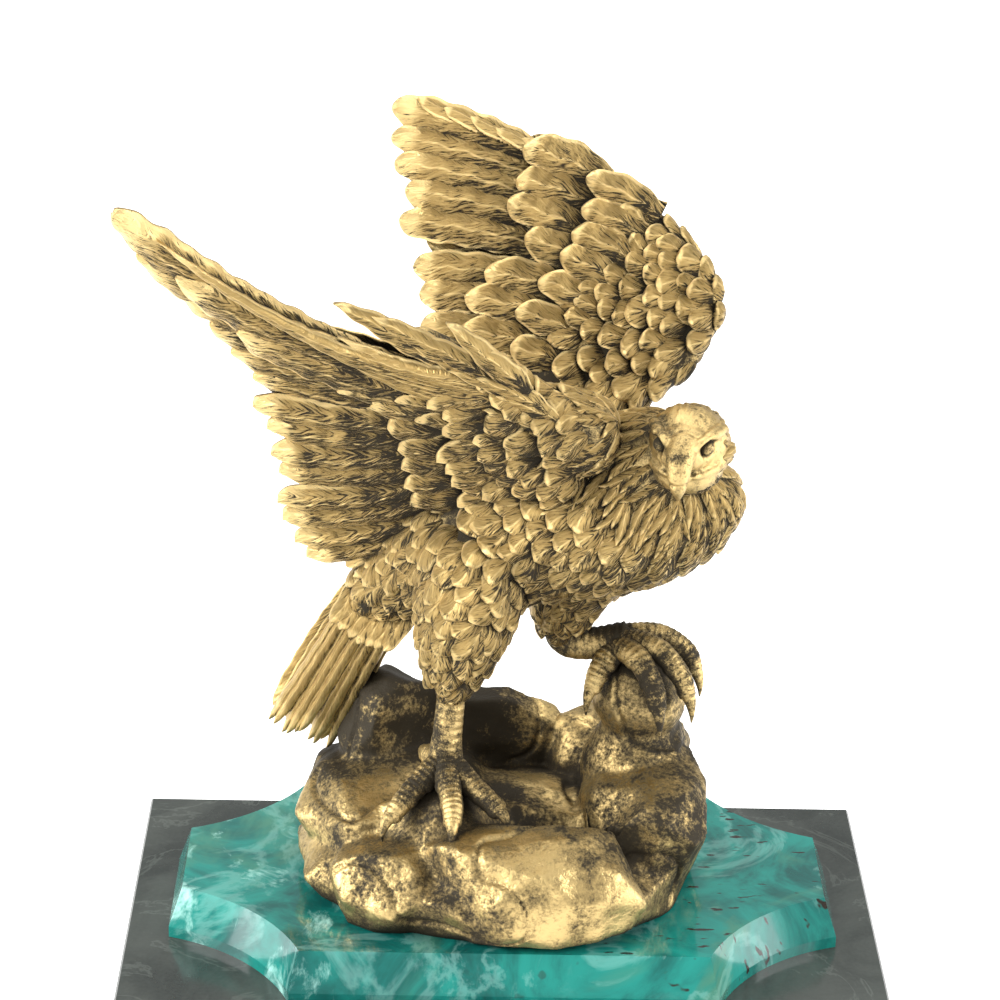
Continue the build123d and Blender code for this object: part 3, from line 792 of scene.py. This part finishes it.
def trunk_flow(spot):
    """The way the feathers point at a place on the trunk: back and down, and away from the head."""
    away = unit(spot - HEAD) + vec(-0.25, 0, -0.55)
    ruff = 1 - smooth_step(22, 40, head_distance(spot))
    flank = unit(vec(-1, 0, -0.55 - 0.6 * smooth_step(138, 110, spot[2])))
    thigh = smooth_step(106, 94, spot[2])
    flank = unit(flank * (1 - thigh) + vec(-0.1, 0, -1) * thigh)
    return unit(unit(away) * ruff + flank * (1 - ruff))


def head_distance(spot):
    return np.linalg.norm(spot - HEAD)


def trunk_coat(spot):
    """True on the trunk, away from the ruff, the thighs and the part that the near wing hides."""
    offset = spot - NEAR_WING.root
    u, v, out = offset[0], offset.dot(NEAR_WING.up), offset.dot(NEAR_WING.out)
    under_wing = out > -6 and u < -9 and v > -30
    return head_distance(spot) > 31 and spot[2] > 99 and not under_wing


def ruff_coat(spot):
    return 13 < head_distance(spot) < 34


def thigh_coat(spot):
    return spot[2] < 102


def scatter_on_skin(tree, aim, accept, spacing, tries, seed):
    """Evenly spread places on a skin, found by throwing darts from outside."""
    local = np.random.default_rng(seed)
    throw, reach = 120, 130
    spots, normals = [], []
    for _ in range(tries):
        target = aim(local)
        ray = unit(local.normal(size=3))
        hit, normal, _, _ = tree.ray_cast(Vector(target + ray * throw), Vector(-ray), reach)
        if hit is None or not accept(np.array(hit)):
            continue
        hit = np.array(hit)
        if spots and np.min(np.linalg.norm(np.array(spots) - hit, axis=1)) < spacing:
            continue
        spots.append(hit)
        normals.append(np.array(normal))
    return spots, normals


def lay_coat(shells, tree, aim, flow, accept, spacing, tries, seed, size, width, **style):
    """A coat of overlapping feathers on a skin, each pointing with the flow."""
    spots, normals = scatter_on_skin(tree, aim, accept, spacing, tries, seed)
    for spot, normal in zip(spots, normals):
        ahead = flow(spot)
        ahead = unit(ahead - normal * ahead.dot(normal))
        ahead = unit(ahead + np.cross(normal, ahead) * rng.normal(0, 0.2))
        reach = size * rng.uniform(0.86, 1.2)
        feather(shells, spot - ahead * reach * 0.45, spot + ahead * reach * 0.55, normal,
                width * rng.uniform(0.84, 1.16), bow=rng.normal(0, 0.05), skin=tree, **style)


def trunk_feathers(shells, tree):
    lay_coat(shells, tree, trunk_aim, trunk_flow, trunk_coat, spacing=4.4, tries=16000, seed=3,
             size=9.8, width=8.6, **TRUNK_SCALES)


def neck_feathers(shells, tree):
    lay_coat(shells, tree, trunk_aim, trunk_flow, ruff_coat, spacing=2.9, tries=12000, seed=4,
             size=15.0, width=3.9, **RUFF)


def thigh_feathers(shells, tree):
    lay_coat(shells, tree, trunk_aim, trunk_flow, thigh_coat, spacing=4.2, tries=12000, seed=5,
             size=9.4, width=7.2, **THIGH_SCALES)


TAIL_FEATHERS = 10
TAIL_COVERTS = 7
TAIL_ROOT = (vec(-26, 7, 108), vec(-33, 9, 101), vec(-42, 11, 86))


def tail(shells):
    """Long rope-like quills side by side, front and back, on a short root under a few coverts."""
    out = unit(vec(-0.45, -0.88, 0.05))
    middle = (TAIL_FEATHERS - 1) / 2
    for step in range(TAIL_FEATHERS):
        side = (step - middle) / middle
        start = vec(-33 + 6.0 * side, 7 - 2.0 * side, 102 - 3.0 * side)
        tip = vec(-55.0 + 8.0 * side, 12 + 4 * abs(side), 57 - 3.0 * side + rng.uniform(-2.5, 2.0))
        height = 0.9 * (step % 2)
        feather(shells, start + out * height, tip + out * height, out, 3.1, bow=0.015 * side, **ROPES)
        feather(shells, start + vec(0, 4, 0), tip + vec(0, 5, 1), -out, 4.0, bow=0.015 * side, **ROPES)
    middle = (TAIL_COVERTS - 1) / 2
    for step in range(TAIL_COVERTS):
        side = (step - middle) / middle
        start = vec(-31 + 7.0 * side, 5 - 2.0 * side, 104 - 3.0 * side)
        feather(shells, start, start + vec(-8, -1, -16 + 2 * abs(side)), out, 6.0, bow=0.03 * side, **COVERTS)
    shaft, faces, _ = fuse(limb_parts(TAIL_ROOT, (10, 7, 3), 12), voxel=1.2, smoothing=3)
    add_skin(shells, shaft, faces)


# ---- legs ----
TOE_RADII = (3.6, 3.4, 3.0, 2.8, 2.2)
CLAW_RADII = (2.2, 1.6, 0.9, 0.2)
# Place along the toe and radius of each knuckle pad.
TOE_PADS = ((0.35, 3.6), (0.68, 3.1), (0.94, 2.5))
SHANK = {"sides": 20, "rings": 70, "ripple": 0.08, "ripple_pitch": 2.2}
RIGHT_SHANK = (vec(-14.5, -12, 90), vec(-15, -12.5, 79), vec(-16, -14, 66), vec(-16, -14.5, 60))
LEFT_SHANK = (vec(14, 8, 97), vec(15, 7.5, 89), vec(22, 6, 88), vec(31, 4.5, 90))
RIGHT_TOES = (
    ((-17, -16, 63), (-22, -20, 60), (-27, -25, 56), (-30, -28, 53)),
    ((-16, -17, 63), (-15, -24, 60), (-14, -30, 57), (-14, -34, 54.5)),
    ((-15, -16, 63), (-10, -21, 60), (-5, -26, 57.5), (-2, -29, 55.5)),
    ((-17, -12, 62), (-19, -8, 61), (-21, -4, 60)),
)
LEFT_TOES = (
    ((29, 3, 89), (34, -4, 88), (38, -9, 82), (39, -11, 77)),
    ((30, 4, 90), (39, -1, 89.5), (45, -5, 84), (47, -6.5, 79)),
    ((30, 6, 90), (40, 7, 90), (47, 6, 86), (49.5, 5, 81)),
    ((28, 3, 88), (24.5, 0, 84), (22, -3, 79)),
)


def toe(shells, path, claw_drop):
    """A scaly toe with knuckle pads, then a smooth hooked claw."""
    path = [vec(*spot) for spot in path]
    tube(shells, path, TOE_RADII, sides=18, rings=80, ripple=0.07, ripple_pitch=1.5)
    steps = 30
    for place, size in TOE_PADS:
        spot = curve_through(path, steps)[int(place * (steps - 1))]
        points, faces = ball_part(spot - UP * 0.5, (size, size, size * 0.8))
        add_skin(shells, points, faces)
    ahead = unit(path[-1] - path[-2])
    claw = [path[-1] - ahead * 1.6,
            path[-1] + ahead * 1.8 + UP * 0.5,
            path[-1] + ahead * 3.4 - UP * claw_drop * 0.4,
            path[-1] + ahead * 3.4 - UP * claw_drop]
    tube(shells, claw, CLAW_RADII, sides=12, rings=18)


def right_leg(shells):
    tube(shells, RIGHT_SHANK, (4.6, 3.6, 3.8, 5.0), **SHANK)
    for path in RIGHT_TOES:
        toe(shells, path, 3.8)


def left_leg(shells):
    tube(shells, LEFT_SHANK, (5.5, 4.6, 4.2, 4.6), **SHANK)
    for path in LEFT_TOES:
        toe(shells, path, 4.2)


# ---- head ----
HEAD_SIDE = unit(np.cross(HEAD_AHEAD, UP))
HEAD_TOP = np.cross(HEAD_SIDE, HEAD_AHEAD)
HEAD_TURN = np.stack([HEAD_AHEAD, HEAD_SIDE, HEAD_TOP], axis=1)
HEAD_SHINE = 0.66
EYE_RADIUS = 1.9


def head_spot(ahead, side, up):
    return HEAD + HEAD_AHEAD * ahead + HEAD_SIDE * side + HEAD_TOP * up


def head_parts():
    """Skull, face and jaw, then a brow and a cheek on each side, the upper bill and the lower."""
    parts = [ball_part(head_spot(-1, 0, 1.0), (11, 10.4, 9.0), HEAD_TURN),
             ball_part(head_spot(5.6, 0, 2.0), (7.0, 7.6, 6.4), HEAD_TURN),
             ball_part(head_spot(1, 0, -4.5), (9.5, 9.4, 7.5), HEAD_TURN)]
    for side in (-1, 1):
        brow = [head_spot(10.6, side * 3.2, 5.0),
                head_spot(7.8, side * 6.2, 6.2),
                head_spot(1, side * 8.4, 6.0)]
        parts += limb_parts(brow, (1.3, 1.8, 1.6), 14)
        cheek = [head_spot(9.6, side * 3.4, -3.0),
                 head_spot(4.6, side * 6.8, -2.8),
                 head_spot(-2, side * 8.6, -1.4)]
        parts += limb_parts(cheek, (1.6, 2.6, 3.2), 12)
    bill = [head_spot(9.4, 0, 3.6), head_spot(12.8, 0, 2.8), head_spot(15.2, 0, 0.2),
            head_spot(15.6, 0, -4.0), head_spot(14.2, 0, -7.8)]
    parts += limb_parts(bill, (4.3, 3.6, 3.0, 2.1, 0.7), 34)
    lower_bill = [head_spot(8, 0, -2.8), head_spot(11, 0, -3.4), head_spot(12.8, 0, -4.2)]
    return parts + limb_parts(lower_bill, (3.6, 2.5, 1.3), 14)


def head_skin():
    """The head's parts run together, with eye sockets, mouth line, cere and a rippled crown."""
    points, faces, normals = fuse(head_parts(), voxel=0.42, smoothing=3)
    for side in (-1, 1):
        gap = np.linalg.norm(points - head_spot(8.6, side * 6.6, 3.8), axis=1)
        points -= normals * (1.6 * (1 - smooth_step(1.2, 3.6, gap)))[:, None]
        ahead, across, up = ((points - HEAD) @ HEAD_TURN).T
        line = np.abs(up + 1.8 + 0.12 * (ahead - 8))
        mouth = (1 - smooth_step(0.25, 0.8, line)) * smooth_step(4, 6.5, ahead) * (across * side > 0)
        points -= normals * (0.45 * mouth)[:, None]
    ahead, across, up = ((points - HEAD) @ HEAD_TURN).T
    cere = 1 - smooth_step(0.2, 0.7, np.abs(ahead - 9.6 + 0.15 * up))
    points -= normals * (0.35 * cere * (up > -3.5))[:, None]
    crown = smooth_step(6, 2, ahead)
    ripple = lattice_noise(np.stack([ahead * 0.35, across * 1.6, up * 1.2], 1), 1.3, 2)
    points += normals * (0.22 * ripple * crown)[:, None]
    return points, faces


def eyes(shells):
    for side in (-1, 1):
        points, faces = ball_part(head_spot(8.0, side * 5.8, 3.7), (EYE_RADIUS,) * 3)
        add_skin(shells, points, faces, 0.45)


def head_feathers(shells, tree):
    """Small flat feathers from behind the eyes and under the jaw, back into the ruff."""
    def aim(local):
        return head_spot(local.uniform(-7, 6), local.uniform(-4, 4), local.uniform(-9, 5))

    def flow(_):
        return unit(HEAD_TOP * -0.5 - HEAD_AHEAD)

    def coat(spot):
        ahead, _, up = (spot - HEAD) @ HEAD_TURN
        return ahead < 3.5 - 1.1 * max(up - 1, 0) + 0.5 * max(-up - 3, 0)

    lay_coat(shells, tree, aim, flow, coat, spacing=1.9, tries=5000, seed=6,
             size=6.0, width=2.5, **HEAD_PLUMES)


# ---- rock ----
# Centre, half sizes, seed and number of scattered corners of each boulder.
ROCK_STONES = (
    ((0, -4, 32), (57, 47, 17), 41, 60),
    ((-28, 6, 40), (29, 34, 16), 2, 34),
    ((6, -32, 38), (34, 21, 19), 33, 40),
    ((38, -2, 42), (20, 34, 20), 14, 30),
    ((-14, 26, 47), (34, 17, 20), 25, 30),
    ((30, 26, 46), (22, 17, 17), 6, 24),
    ((37, 6, 54), (16, 14, 14), 17, 24),
    ((-26, -24, 34), (22, 20, 16), 8, 30),
    ((-30, 15, 57), (16, 15, 20), 9, 30),
    ((-16, -19, 45), (20, 18, 13), 12, 44),
)
BALL = vec(35, 5, 73)
BALL_RADIUS = 12
# The plinth's top is at 25.5.
ROCK_FOOT = 25.6
HOLLOW_DEPTH = 7.5


def rock(shells):
    """Chiselled boulders run together, with a hollow in front, cracks and the ball stone, and painted shade
    behind the legs, beside the ball stone and in the hollow.
    """
    parts = [stone_part(centre, sizes, seed, count) for centre, sizes, seed, count in ROCK_STONES]
    parts.append(ball_part(BALL, (BALL_RADIUS,) * 3))
    parts += limb_parts([vec(35, 6, 52), vec(35, 5, 66)], (15, 9), 8)
    points, faces, normals = fuse(parts, voxel=0.8, smoothing=5)
    above = smooth_step(ROCK_FOOT, 29, points[:, 2])
    wave = lattice_noise(points, 15.0, 1) * 1.0 + lattice_noise(points, 6.0, 2) * 0.45
    grain = lattice_noise(points, 2.6, 4) * 0.14 + lattice_noise(points, 1.2, 6) * 0.07
    crack = smooth_step(0.95, 1.0, 1 - np.abs(lattice_noise(points + vec(3, 0, 7), 21.0, 5)))
    in_hollow = 1 - smooth_step(0.5, 1.0, np.hypot((points[:, 0] - 13) / 24, (points[:, 1] + 22) / 12.5))
    in_hollow *= smooth_step(40, 46, points[:, 2])
    sink = HOLLOW_DEPTH * in_hollow * smooth_step(0.0, 0.4, normals[:, 2])
    points = points + normals * ((wave + grain - crack * 1.0) * above)[:, None]
    points[:, 2] -= sink
    points[:, 2] = np.maximum(points[:, 2], ROCK_FOOT)
    # Painted shade: the rock is darkened behind the legs, beside the ball stone and in the hollow, by
    # lowering its shine below 0.5.
    behind_legs = smooth_step(-16, 2, points[:, 1]) * smooth_step(6, -12, points[:, 0])
    behind_legs *= smooth_step(42, 52, points[:, 2])
    beside_ball = 1 - smooth_step(BALL_RADIUS, 18, np.linalg.norm(points - BALL, axis=1))
    shade = np.maximum(0.30 * behind_legs, np.maximum(0.09 * beside_ball, 0.09 * in_hollow))
    add_skin(shells, points, faces, 0.5 - shade)


# ---- studio ----
WHITE = (1, 1, 1, 1)
FLOOR_SIZE = 14
FLOOR_GLOW = 0.55
WORLD_STRENGTH = 0.42
LIGHT_AIM = Vector((0, 0, 0.12))
# Name, place and size in metres, and power in watts.
LIGHTS = (
    ("left_box", (-0.95, -0.25, 0.5), 0.7, 19),
    ("right_box", (1.0, -0.2, 0.45), 0.7, 13.5),
    ("top_box", (0.1, 0.35, 1.2), 0.7, 11),
    ("front_box", (-0.4, -1.1, 1.0), 0.4, 5),
)


def studio():
    """A white floor and sky, lit by four soft boxes."""
    bpy.ops.mesh.primitive_plane_add(size=FLOOR_SIZE)
    floor = bpy.context.object
    floor.name = "floor"
    white = Nodes("floor_white")
    white.show("Base Color", (0.9, 0.9, 0.9, 1))
    white.show("Roughness", 0.6)
    white.show("Emission Color", WHITE)
    white.show("Emission Strength", FLOOR_GLOW)
    floor.data.materials.append(white.material)
    world = bpy.data.worlds.new("studio")
    bpy.context.scene.world = world
    world.use_nodes = True
    sky = world.node_tree.nodes["Background"]
    sky.inputs["Color"].default_value = WHITE
    sky.inputs["Strength"].default_value = WORLD_STRENGTH
    for name, place, size, power in LIGHTS:
        light = bpy.data.lights.new(name, "AREA")
        light.size = size
        light.energy = power
        lamp = bpy.data.objects.new(name, light)
        lamp.location = place
        aim = LIGHT_AIM - Vector(place)
        lamp.rotation_euler = aim.to_track_quat("-Z", "Y").to_euler()
        bpy.context.scene.collection.objects.link(lamp)


CAMERA_PLACE = (-0.01725, -0.80269, 0.46194)
CAMERA_PITCH = math.radians(22.41)
CAMERA_YAW = math.radians(1.002)
CAMERA_ROLL = math.radians(1.393)
CAMERA_LENS = 121.52
SENSOR_WIDTH = 36


def camera():
    ahead = Vector((math.sin(CAMERA_YAW) * math.cos(CAMERA_PITCH),
                    math.cos(CAMERA_YAW) * math.cos(CAMERA_PITCH),
                    -math.sin(CAMERA_PITCH)))
    level = Vector((math.cos(CAMERA_YAW), -math.sin(CAMERA_YAW), 0))
    above = level.cross(ahead)
    right = level * math.cos(CAMERA_ROLL) + above * math.sin(CAMERA_ROLL)
    top = above * math.cos(CAMERA_ROLL) - level * math.sin(CAMERA_ROLL)
    data = bpy.data.cameras.new("camera")
    data.lens = CAMERA_LENS
    data.sensor_width = SENSOR_WIDTH
    eye = bpy.data.objects.new("camera", data)
    turn = Matrix((right, top, -ahead)).transposed().to_4x4()
    eye.matrix_world = Matrix.Translation(CAMERA_PLACE) @ turn
    bpy.context.scene.collection.objects.link(eye)
    bpy.context.scene.camera = eye


# ---- everything ----
def make_piece(name, material, node, job, *given, slot="bird_bronze"):
    """One visual piece in place of a CAD node, its shells laid by job."""
    shells = Shells()
    job(shells, *given)
    build(name, shells, material, node)


def make_bird():
    feathers = feather_bronze()
    skin = skin_bronze("skin_bronze", grain_scale=520.0, dark=1.15, softness=0.12, rough=0.38)
    points, faces, _ = trunk_skin()
    tree = skin_tree(points, faces)
    make_piece("trunk_core", skin, "body_casting", add_skin, points, faces)
    make_piece("trunk_feathers", feathers, "body_casting", trunk_feathers, tree)
    make_piece("neck_feathers", feathers, "body_casting", neck_feathers, tree)
    make_piece("thigh_feathers", feathers, "body_casting", thigh_feathers, tree)
    make_piece("right_wing_feathers", feathers, "right_wing_casting", right_wing)
    make_piece("tail_feathers", feathers, "tail_casting", tail)
    make_piece("right_leg_and_foot", skin, "right_leg_casting", right_leg)
    make_piece("left_leg_and_foot", skin, "left_leg_casting", left_leg)
    make_piece("eyes", skin, "body_casting", eyes)
    points, faces = head_skin()
    make_piece("head_and_beak", skin, "body_casting", add_skin, points, faces, HEAD_SHINE)
    make_piece("head_feathers", feathers, "body_casting", head_feathers, skin_tree(points, faces))
    points, faces = far_wing_skin()
    tree = skin_tree(points, faces)
    make_piece("left_wing_arm", skin, "left_wing_casting", add_skin, points, faces)
    make_piece("left_wing_quills", feathers, "left_wing_casting", left_wing_quills)
    make_piece("left_wing_feathers", feathers, "left_wing_casting", left_wing_coverts, tree)


def make_rock():
    bronze = skin_bronze("rock_bronze", grain_scale=230.0, dark=1.11, softness=0.13, rough=0.42)
    make_piece("rock", bronze, "rock_casting", rock, slot="rock_bronze")


def finish_node(node, material):
    """Gives a CAD piece that shows as it is its material."""
    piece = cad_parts[node]
    piece.data.materials.clear()
    piece.data.materials.append(material)


def soften_edges(node, width, segments):
    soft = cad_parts[node].modifiers.new("soft_edges", "BEVEL")
    soft.width = width
    soft.segments = segments
    soft.limit_method = "ANGLE"
    soft.angle_limit = math.radians(25)


def finish_bases():
    finish_node("stone_plinth", plinth_stone())
    soften_edges("stone_plinth", width=0.0005, segments=3)
    finish_node("stone_slab", slab_stone())
    finish_node("felt_sheet", felt_cloth())


def finish_fasteners():
    pin_metal = plain_metal("pin_bronze", PIN_BRONZE, 0.3)
    steel = plain_metal("zinc_steel", ZINC_STEEL, 0.25)
    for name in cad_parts:
        if name.endswith("_pin"):
            finish_node(name, pin_metal)
        elif name.endswith(("stud", "studs", "nut", "nuts", "washer", "washers")):
            finish_node(name, steel)


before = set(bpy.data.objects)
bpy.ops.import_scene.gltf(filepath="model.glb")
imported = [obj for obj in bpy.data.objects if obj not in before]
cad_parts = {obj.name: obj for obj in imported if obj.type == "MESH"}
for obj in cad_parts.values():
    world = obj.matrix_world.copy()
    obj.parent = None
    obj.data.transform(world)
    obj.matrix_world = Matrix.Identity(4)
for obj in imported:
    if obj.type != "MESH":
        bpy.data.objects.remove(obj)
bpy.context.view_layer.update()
camera()
studio()
make_bird()
make_rock()
finish_bases()
finish_fasteners()

view = bpy.context.scene.view_settings
view.view_transform = "Standard"
